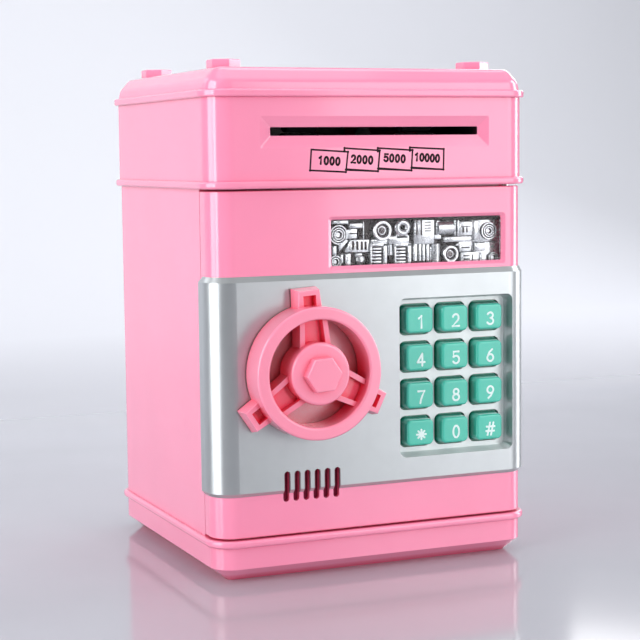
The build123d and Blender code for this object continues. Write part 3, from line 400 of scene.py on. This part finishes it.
def stroke_piece(name, strokes, width, thick, origin, sx=1.0, sz=1.0, tilt=0.0, mat=None):
    # rounded strokes laid on a plane facing -Y; the tube is flattened to a printed film with a soft crown
    cu = bpy.data.curves.new(name + "_c", "CURVE")
    cu.dimensions = "3D"
    cu.bevel_depth = width / 2
    cu.bevel_resolution = 3
    cu.use_fill_caps = True
    for pts in strokes:
        closed = len(pts) > 3 and (Vector(pts[0]) - Vector(pts[-1])).length < 1e-6
        p = pts[:-1] if closed else pts
        sp = cu.splines.new("POLY")
        sp.points.add(len(p) - 1)
        for q, (x, z) in zip(sp.points, p):
            q.co = (x * sx, 0.0, z * sz, 1.0)
        sp.use_cyclic_u = closed
    tmp = bpy.data.objects.new(name + "_t", cu)
    bpy.context.scene.collection.objects.link(tmp)
    bpy.context.view_layer.update()
    me = bpy.data.meshes.new_from_object(tmp.evaluated_get(bpy.context.evaluated_depsgraph_get()))
    bpy.data.objects.remove(tmp)
    bm = bmesh.new()
    bm.from_mesh(me)
    # round stroke ends
    for pts in strokes:
        closed = len(pts) > 3 and (Vector(pts[0]) - Vector(pts[-1])).length < 1e-6
        ends = [] if closed else [pts[0], pts[-1]]
        for (x, z) in ends + [q for q in pts[1:-1]]:
            ret = bmesh.ops.create_uvsphere(bm, u_segments=12, v_segments=8, radius=width / 2 * 0.999)
            bmesh.ops.translate(bm, verts=ret["verts"], vec=(x * sx, 0, z * sz))
    ca, sa = math.cos(math.radians(tilt)), math.sin(math.radians(tilt))
    for v in bm.verts:
        x, y, z = v.co
        v.co = ((ca * x - sa * z) * MM + origin[0] * MM, (y * thick / width) * MM + origin[1] * MM, (sa * x + ca * z) * MM + origin[2] * MM)
    for f in bm.faces:
        f.smooth = True
    bm.to_mesh(me)
    bm.free()
    me.name = name
    o = bpy.data.objects.new(name, me)
    bpy.context.scene.collection.objects.link(o)
    me.materials.clear()
    me.materials.append(mat)
    return o


KEYS = ["1", "2", "3", "4", "5", "6", "7", "8", "9", "star", "0", "hash"]
for g in KEYS:
    lo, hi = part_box("key_" + g)
    cx, cz = (lo.x + hi.x) / 2 / MM, (lo.z + hi.z) / 2 / MM
    face = lo.y / MM
    o = stroke_piece("legend_" + g, GLYPH[g], 0.82, 0.10, (cx + 0.35, face, cz - 0.75), 1.08, 1.03, 0.0, M["legend"])
    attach(o, "key_" + g + "_cap")

# outlined note values under the slot, printed on the upper housing
YP = -60.2
boxes = [
    [(-25.9, 158.8), (-11.2, 157.8), (-12.1, 150.4), (-26.5, 151.2)],
    [(-12.6, 159.2), (1.8, 158.2), (1.0, 150.5), (-11.9, 151.2)],
    [(1.0, 159.1), (15.4, 158.2), (14.9, 150.6), (1.5, 151.4)],
    [(14.3, 159.2), (28.6, 158.5), (28.4, 150.8), (15.1, 151.5)],
]
outl = []
for k, b in enumerate(boxes):
    if k == 0:
        outl.append(b + [b[0]])
    else:
        prev = boxes[k - 1]
        # the left edge hides behind the note before it
        outl.append([(b[0][0], b[0][1] - 1.2), b[0], b[1], b[2], (prev[2][0], b[3][1] + 0.1)])
o = stroke_piece("note_outlines", outl, 0.95, 0.08, (0, YP, 0), 1, 1, 0, M["ink"])
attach(o, "case")
vals = [("1000", -18.8, 154.6, 2.32), ("2000", -5.5, 154.9, 2.35), ("5000", 7.9, 155.25, 2.36), ("10000", 21.5, 155.3, 2.2)]
for txt, tx, tz, pitch in vals:
    strokes = []
    n = len(txt)
    for i, ch in enumerate(txt):
        dx = (i - (n - 1) / 2) * pitch
        for s in GLYPH[ch]:
            strokes.append([(x * 0.60 + dx, z * 0.60) for x, z in s])
    o = stroke_piece("note_value_" + txt, strokes, 0.86, 0.08, (tx, YP, tz), 1, 1, -4.0, M["ink"])
    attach(o, "case")


# ---------------------------------------------------------------- moulded mechanism behind the window
# positions come in units of about 0.0475 mm, measured across and down from the window's upper left corner
CAM_R = ((0.9186485987, 0.3921049187, 0.0483578828), (-0.3949167460, 0.9148453125, 0.0842544830), (-0.0112033852, -0.0964976004, 0.9952701630))
CAM_P = Vector((-270.743, -637.729, 156.870))


def on_face(u, v, y):
    fx = (u / 7.895) / 1704.766
    fz = (320 - 208 - v / 7.895) / 1704.766
    d = Vector([CAM_R[i][1] + CAM_R[i][0] * fx + CAM_R[i][2] * fz for i in range(3)])
    t = (y - CAM_P.y) / d.y
    q = CAM_P + d * t
    return q.x, q.z


RB = bmesh.new()
Y_BACK = -52.7


def r_xform(verts, fn):
    for v in verts:
        v.co = fn(v.co)


def r_box(u0, v0, u1, v1, y, bev=0.22, tilt=0.0, y0=None, mi=0):
    um, vm = (u0 + u1) / 2, (v0 + v1) / 2
    xa, _ = on_face(u0, vm, y)
    xb, _ = on_face(u1, vm, y)
    cx, za = on_face(um, v1, y)
    _, zb = on_face(um, v0, y)
    yb = Y_BACK if y0 is None else y0
    t = bmesh.new()
    bmesh.ops.create_cube(t, size=1.0)
    for v in t.verts:
        v.co = ((xa + xb) / 2 + v.co.x * (xb - xa), (y + yb) / 2 + v.co.y * (yb - y), (za + zb) / 2 + v.co.z * (zb - za))
    if bev:
        es = [e for e in t.edges if min(e.verts[0].co.y, e.verts[1].co.y) < y + 0.01]
        bmesh.ops.bevel(t, geom=es, offset=min(bev, 0.3 * (xb - xa), 0.3 * (zb - za)), segments=2, profile=0.5, affect="EDGES")
    if tilt:
        c, s_ = math.cos(math.radians(tilt)), math.sin(math.radians(tilt))
        mx_, mz_ = (xa + xb) / 2, (za + zb) / 2
        for v in t.verts:
            dx, dz = v.co.x - mx_, v.co.z - mz_
            v.co.x, v.co.z = mx_ + c * dx - s_ * dz, mz_ + s_ * dx + c * dz
    r_merge(t, mi)


# painted shade: a flat dark strip laid on the surface in place of a groove or slit
def painted_groove(u0, v0, u1, v1, y):
    r_box(u0, v0, u1, v1, y - 0.03, 0.0, 0.0, y + 0.1, 1)


def r_merge(t, mi=0):
    for f in t.faces:
        f.material_index = mi
    me = bpy.data.meshes.new("tmp")
    t.to_mesh(me)
    t.free()
    RB.from_mesh(me)
    bpy.data.meshes.remove(me)


def r_turn(u, v, prof, seg=48, mi=0):
    # turned shape about an axis along Y; prof is (radius in mm, y)
    cx, cz = on_face(u, v, prof[-1][1])
    t = bmesh.new()
    if prof[-1][0] > 1e-6 and abs(prof[0][1] - Y_BACK) < 1e-6:
        prof = prof + [(prof[-1][0], Y_BACK)]
    rings = []
    for r, y in prof:
        if r < 1e-6:
            rings.append([t.verts.new((cx, y, cz))])
        else:
            rings.append([t.verts.new((cx + r * math.cos(2 * math.pi * k / seg), y, cz + r * math.sin(2 * math.pi * k / seg))) for k in range(seg)])
    for a, b in zip(rings[:-1], rings[1:]):
        for k in range(seg):
            k2 = (k + 1) % seg
            if len(a) == 1 and len(b) == 1:
                continue
            if len(a) == 1:
                t.faces.new((a[0], b[k], b[k2]))
            elif len(b) == 1:
                t.faces.new((a[k], b[0], a[k2]))
            else:
                t.faces.new((a[k], b[k], b[k2], a[k2]))
    # closed behind, so that each feature is a solid
    if len(rings[-1]) > 1:
        for k in range(seg):
            k2 = (k + 1) % seg
            t.faces.new((rings[-1][k], rings[0][k], rings[0][k2], rings[-1][k2]))
    else:
        t.faces.new(rings[0])
    bmesh.ops.recalc_face_normals(t, faces=t.faces)
    r_merge(t, mi)


def U(n):
    return n * 0.0475        # mm per unit


def rings(u, v, radii, y):
    # concentric raised rings on a dark disc; the disc shows between the rings as painted shade in the grooves
    r_turn(u, v, [(U(radii[0]) + 0.02, Y_BACK), (U(radii[0]) + 0.02, y + 0.7), (0.0, y + 0.7)], mi=1)
    for k, r in enumerate(radii):
        nx = radii[k + 1] if k + 1 < len(radii) else 0.0
        ri = U(r - (r - nx) * 0.58) if nx else 0.0
        if ri:
            r_turn(u, v, [(U(r), Y_BACK), (U(r), y + 0.1), (U(r) - 0.08, y), (ri + 0.08, y), (ri, y + 0.1), (ri, y + 0.8)])
        else:
            r_turn(u, v, [(U(r), Y_BACK), (U(r), y + 0.1), (U(r) - 0.1, y), (0.0, y)])


def lens(u, v, ro, ri, y):
    # a bezel around a domed glass
    ro, ri = U(ro), U(ri)
    r_turn(u, v, [(ro, Y_BACK), (ro, y + 0.4), (ro - 0.3, y), (ri + 0.2, y), (ri, y + 0.3), (ri - 0.1, y + 1.2)])
    g = [(ri, y + 1.3)]
    for k in range(1, 9):
        a = math.pi / 2 * k / 8
        g.append((ri * math.cos(a) if k < 8 else 0.0, y + 1.1 - 0.55 * math.sin(a)))
    r_turn(u, v, g, mi=2)
    r_turn(u, v, [(ri * 0.62, y + 0.9), (ri * 0.62, y + 0.62), (ri * 0.5, y + 0.62), (ri * 0.5, y + 0.9)])


def donut(u, v, ro, ri, y):
    ro, ri = U(ro), U(ri)
    rm, rr_ = (ro + ri) / 2, (ro - ri) / 2
    prof = [(ro, Y_BACK)]
    for k in range(13):
        a = math.pi * k / 12
        prof.append((rm + rr_ * math.cos(a), y + 1.1 - 1.1 * math.sin(a)))
    r_turn(u, v, prof)
    # painted shade: a dark disc at the bottom of the hole
    r_turn(u, v, [(ri * 1.3, y + 1.5), (0.0, y + 1.5)], mi=1)


def rod_x(u0, u1, v0, v1, y, seg=24):
    xa, zt = on_face(u0, v0, y)
    xb, zb_ = on_face(u1, v1, y)
    r = (zt - zb_) / 2
    cz = (zt + zb_) / 2
    t = bmesh.new()
    h = abs(xb - xa)
    ry = min(r, y * -1 - 52.75)
    A, B = [], []
    for k in range(seg):
        a = 2 * math.pi * k / seg
        yy = y + ry - ry * math.cos(a)
        zz = cz + r * math.sin(a)
        A.append(t.verts.new((xa, min(yy, Y_BACK), zz)))
        B.append(t.verts.new((xb, min(yy, Y_BACK), zz)))
    for k in range(seg):
        k2 = (k + 1) % seg
        t.faces.new((A[k], A[k2], B[k2], B[k]))
    t.faces.new(A[::-1]); t.faces.new(B)
    bmesh.ops.recalc_face_normals(t, faces=t.faces)
    r_merge(t)


def rod_z(u0, u1, v0, v1, y, seg=24):
    xa, zt = on_face(u0, v0, y)
    xb, zb_ = on_face(u1, v1, y)
    r = (xb - xa) / 2
    cx = (xa + xb) / 2
    t = bmesh.new()
    ry = min(r, y * -1 - 52.75)
    A, B = [], []
    for k in range(seg):
        a = 2 * math.pi * k / seg
        yy = min(y + ry - ry * math.cos(a), Y_BACK)
        xx = cx + r * math.sin(a)
        A.append(t.verts.new((xx, yy, zb_)))
        B.append(t.verts.new((xx, yy, zt)))
    for k in range(seg):
        k2 = (k + 1) % seg
        t.faces.new((A[k], A[k2], B[k2], B[k]))
    t.faces.new(A[::-1]); t.faces.new(B)
    bmesh.ops.recalc_face_normals(t, faces=t.faces)
    r_merge(t)


def dome(u, v, r, y, h=1.0):
    r = U(r)
    prof = [(r, Y_BACK), (r, y + h)]
    for k in range(1, 9):
        a = math.pi / 2 * k / 8
        prof.append((r * math.cos(a) if k < 8 else 0.0, y + h - h * math.sin(a)))
    r_turn(u, v, prof)


def tri(pts, y, bev=0.25):
    # bevelled prism over a polygon
    q = [on_face(u, v, y) for u, v in pts]
    t = bmesh.new()
    f = [t.verts.new((x, y, z)) for x, z in q]
    b = [t.verts.new((x, Y_BACK, z)) for x, z in q]
    n = len(q)
    t.faces.new(f); t.faces.new(b[::-1])
    for k in range(n):
        t.faces.new((f[k], b[k], b[(k + 1) % n], f[(k + 1) % n]))
    bmesh.ops.recalc_face_normals(t, faces=t.faces)
    es = [e for e in t.edges if max(e.verts[0].co.y, e.verts[1].co.y) < y + 0.01]
    bmesh.ops.bevel(t, geom=es, offset=bev, segments=2, profile=0.5, affect="EDGES")
    r_merge(t)


# pieces given mi=1 take the dark material as painted shade in the deepest gaps between features
F1, F2, F3, F4 = -55.9, -55.2, -54.5, -53.9
rings(138, 212, [78, 58, 40, 20], F1)
r_box(94, 95, 222, 128, F3)
r_box(94, 300, 128, 372, F3)
tri([(132, 240), (225, 256), (150, 345)], F3)
r_box(228, 122, 334, 160, F1)
r_box(208, 166, 290, 242, F2)
painted_groove(232, 196, 290, 206, F2)
r_box(296, 176, 330, 236, F4, mi=1)
r_box(337, 105, 345, 262, F2, 0.08)
r_box(350, 200, 392, 262, F4, mi=1)
lens(483, 178, 82, 55, F1)
r_box(398, 244, 548, 282, F3)
donut(645, 155, 70, 20, F1)
r_box(600, 196, 690, 240, F2)
r_box(540, 218, 702, 284, F2)
r_box(740, 95, 900, 284, F1)
painted_groove(756, 96, 768, 214, F1)
painted_groove(792, 96, 804, 214, F1)
for v_ in (112, 135, 158, 180):
    painted_groove(824, v_ - 4, 874, v_ + 4, F1)
r_box(900, 214, 954, 246, F2)
r_box(912, 98, 940, 216, F3)
rod_x(938, 1056, 104, 214, F1)
r_box(1056, 95, 1070, 220, F2, 0.14)
r_box(1070, 100, 1082, 214, F4, 0.0, mi=1)
r_box(1082, 95, 1097, 220, F1, 0.14)
r_box(1098, 108, 1198, 218, F1)
for u0_, u1_ in ((1120, 1136), (1150, 1162)):
    painted_groove(u0_, 152, u1_, 192, F1)
painted_groove(1110, 140, 1186, 147, F1)
r_box(975, 226, 1194, 266, F1)
r_box(1196, 92, 1424, 266, F4, 0.1)
rings(1325, 180, [70, 50, 32, 14], F2)
r_box(1208, 100, 1246, 250, F3)
tri([(236, 250), (386, 250), (380, 350), (190, 350)], F2)
for u_ in (259, 292, 327, 357):
    painted_groove(u_ - 9, 264, u_ + 9, 330, F2)
rings(115, 425, [52, 34, 16], F2)
r_box(158, 366, 182, 434, F2)
r_box(196, 360, 240, 456, F1)
r_box(240, 362, 272, 456, F4, 0.0, mi=1)
dome(322, 410, 38, F1, 1.1)
r_box(272, 358, 330, 382, F3)
r_box(350, 392, 392, 456, F4, mi=1)
for x0_ in (394, 586):
    r_box(x0_, 280, x0_ + 132, 456, F4, 0.0, mi=1)
    r_box(x0_, 280, x0_ + 132, 302, F1, 0.14)
    r_box(x0_, 442, x0_ + 132, 456, F1, 0.14)
    r_box(x0_, 280, x0_ + 14, 456, F1, 0.14)
    r_box(x0_ + 104, 280, x0_ + 132, 456, F1, 0.14)
    for k_ in range(5):
        v_ = 322 + k_ * 26
        r_box(x0_ + 12, v_ - 8, x0_ + 88, v_ + 8, F1, 0.16)
rod_z(534, 576, 288, 372, F2)
r_box(534, 380, 576, 456, F4, mi=1)
for a_, b_ in ((733, 765), (776, 797), (805, 827), (836, 860)):
    r_box(a_, 284, b_, 420, F1, 0.2)
r_box(726, 424, 868, 456, F4, mi=1)
tri([(866, 300), (905, 288), (880, 420), (862, 430)], F4)
rod_z(884, 960, 284, 456, F2)
lens(1022, 362, 70, 47, F1)
tri([(1060, 300), (1100, 262), (1196, 262), (1196, 300)], F2)
r_box(1096, 288, 1192, 344, F2)
painted_groove(1112, 306, 1178, 316, F2)
r_box(1108, 348, 1252, 432, F1)
painted_groove(1128, 372, 1180, 380, F1)
painted_groove(1196, 366, 1204, 424, F1)
painted_groove(1128, 398, 1180, 406, F1)
r_box(1198, 270, 1424, 456, F4, 0.1)
rings(1360, 390, [44, 30, 14], F2)
r_box(1258, 356, 1306, 448, F3)
r_box(1216, 276, 1300, 336, F2)
r_box(980, 440, 1250, 456, F3, 0.1)
me = bpy.data.meshes.new("mechanism_relief_detail")
RB.transform(Matrix.Scale(MM, 4))
RB.to_mesh(me)
RB.free()
ro = bpy.data.objects.new("mechanism_relief_detail", me)
bpy.context.scene.collection.objects.link(ro)
me.materials.append(M["chrome"])
me.materials.append(M["dark"])
me.materials.append(M["glass_dark"])
me.shade_smooth()
me.set_sharp_from_angle(angle=math.radians(35))
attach(ro, "door")
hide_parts("mechanism_relief")

# painted shade: a dark maroon disc just behind the sound slots stands in for the shade inside them
slo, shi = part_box("speaker")
t = bmesh.new()
bmesh.ops.create_cone(t, cap_ends=True, segments=48, radius1=(shi.x - slo.x) / 2 * 0.97, radius2=(shi.x - slo.x) / 2 * 0.97, depth=0.00012)
for v in t.verts:
    v.co = ((slo.x + shi.x) / 2 + v.co.x, slo.y - 0.00012 + v.co.z, (slo.z + shi.z) / 2 + v.co.y)
me = bpy.data.meshes.new("grille_cloth")
t.to_mesh(me)
t.free()
co_ = bpy.data.objects.new("grille_cloth", me)
bpy.context.scene.collection.objects.link(co_)
me.materials.append(M["cloth"])
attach(co_, "door")

# ---------------------------------------------------------------- stage
def plane_obj(name, verts, mat):
    me = bpy.data.meshes.new(name)
    me.from_pydata(verts, [], [(0, 1, 2, 3)])
    o = bpy.data.objects.new(name, me)
    bpy.context.scene.collection.objects.link(o)
    me.materials.append(mat)
    return o


m_floor, nt, p, out = node_mat("floor_gloss")
co = coords(nt)
n1 = noise(nt, co, 9.0, 3.0)
sy = nt.nodes.new("ShaderNodeSeparateXYZ")
nt.links.new(co, sy.inputs["Vector"])
rise = maprange(nt, sy.outputs["Y"], 0.25, 0.8, 0.0, 1.0)
mf = nt.nodes.new("ShaderNodeMix"); mf.data_type = "RGBA"
nt.links.new(rise, mf.inputs[0])
nt.links.new(ramp(nt, n1.outputs["Fac"], [(0.3, srgb(164, 165, 173)), (0.7, srgb(169, 170, 178))]).outputs["Color"], mf.inputs[6])
mf.inputs[7].default_value = srgb(218, 220, 227)
nt.links.new(mf.outputs[2], p.inputs["Base Color"])
nt.links.new(maprange(nt, sy.outputs["Y"], 0.25, 0.8, 0.11, 0.85), p.inputs["Roughness"])
p.inputs["Specular IOR Level"].default_value = 0.9
# a seamless sweep, far enough back to leave the rear of the object in view
line = [(-4.0, 0.0), (-0.5, 0.0), (0.25, 0.0), (0.6, 0.0)]
for k in range(1, 17):
    t = math.pi / 2 * k / 16
    line.append((0.75 + 0.55 * math.sin(t), 0.55 - 0.55 * math.cos(t)))
line.append((1.3, 4.0))
sv = [(x, y, z) for y, z in line for x in (-4.0, 4.0)]
sf = [(2 * k, 2 * k + 1, 2 * k + 3, 2 * k + 2) for k in range(len(line) - 1)]
me = bpy.data.meshes.new("stage_sweep")
me.from_pydata(sv, [], sf)
for f in me.polygons:
    f.use_smooth = True
sweep = bpy.data.objects.new("stage_sweep", me)
bpy.context.scene.collection.objects.link(sweep)
me.materials.append(m_floor)

# ---------------------------------------------------------------- camera and light
R = ((0.9186485987, 0.3921049187, 0.0483578828), (-0.3949167460, 0.9148453125, 0.0842544830), (-0.0112033852, -0.0964976004, 0.9952701630))
cam = bpy.data.cameras.new("camera")
cam.sensor_width = 36.0
cam.lens = 1704.766 / 640 * 36.0
cam.clip_start, cam.clip_end = 0.05, 20.0
cam_o = bpy.data.objects.new("camera", cam)
bpy.context.scene.collection.objects.link(cam_o)
m = Matrix(((R[0][0], R[0][2], -R[0][1], -0.270743), (R[1][0], R[1][2], -R[1][1], -0.637729), (R[2][0], R[2][2], -R[2][1], 0.156870), (0, 0, 0, 1)))
cam_o.matrix_world = m
bpy.context.scene.camera = cam_o


def area(name, loc, target, size, power, color=(1, 1, 1), size_y=None):
    l = bpy.data.lights.new(name, "AREA")
    l.energy = power
    l.size = size
    if size_y:
        l.shape = "RECTANGLE"
        l.size_y = size_y
    l.color = color
    o = bpy.data.objects.new(name, l)
    bpy.context.scene.collection.objects.link(o)
    o.location = loc
    o.rotation_mode = "QUATERNION"
    o.rotation_quaternion = (Vector(target) - Vector(loc)).to_track_quat("-Z", "Y")
    return o


area("soft_right", (0.68, -0.93, 0.30), (0, 0, 0.08), 0.62, 6.6, (1.0, 0.995, 1.0), 1.2)
area("strip_left", (-1.02, -0.44, 0.30), (0, 0, 0.08), 0.24, 6.2, (1.0, 1.0, 1.0), 1.2)
area("strip_right", (1.12, -0.08, 0.30), (0, 0, 0.08), 0.36, 8.5, (1.0, 1.0, 1.0), 1.2)
area("side_fill", (-1.12, -0.05, 0.34), (0, 0, 0.08), 0.5, 9.0, (1.0, 1.0, 1.0), 1.2)
k = area("key_front", (0.22, -1.42, 0.30), (0, 0, 0.09), 0.14, 6.0)
k.visible_glossy = False
area("top", (0.0, -0.15, 1.35), (0, 0, 0.1), 1.1, 4.0)
area("backdrop", (0.35, 0.5, 1.5), (0.45, 1.3, 0.35), 1.2, 8.5)
area("rear_left", (-0.75, 0.75, 0.75), (0, 0, 0.08), 0.5, 1.4)
area("rear_right", (0.8, 0.7, 0.6), (0, 0, 0.08), 0.5, 2.4)
w = bpy.data.worlds.new("studio")
bpy.context.scene.world = w
w.use_nodes = True
bg = w.node_tree.nodes["Background"]
bg.inputs["Color"].default_value = (0.95, 0.96, 1.0, 1.0)
bg.inputs["Strength"].default_value = 0.2
bpy.context.scene.view_settings.view_transform = "Standard"
bpy.context.scene.view_settings.look = "None"
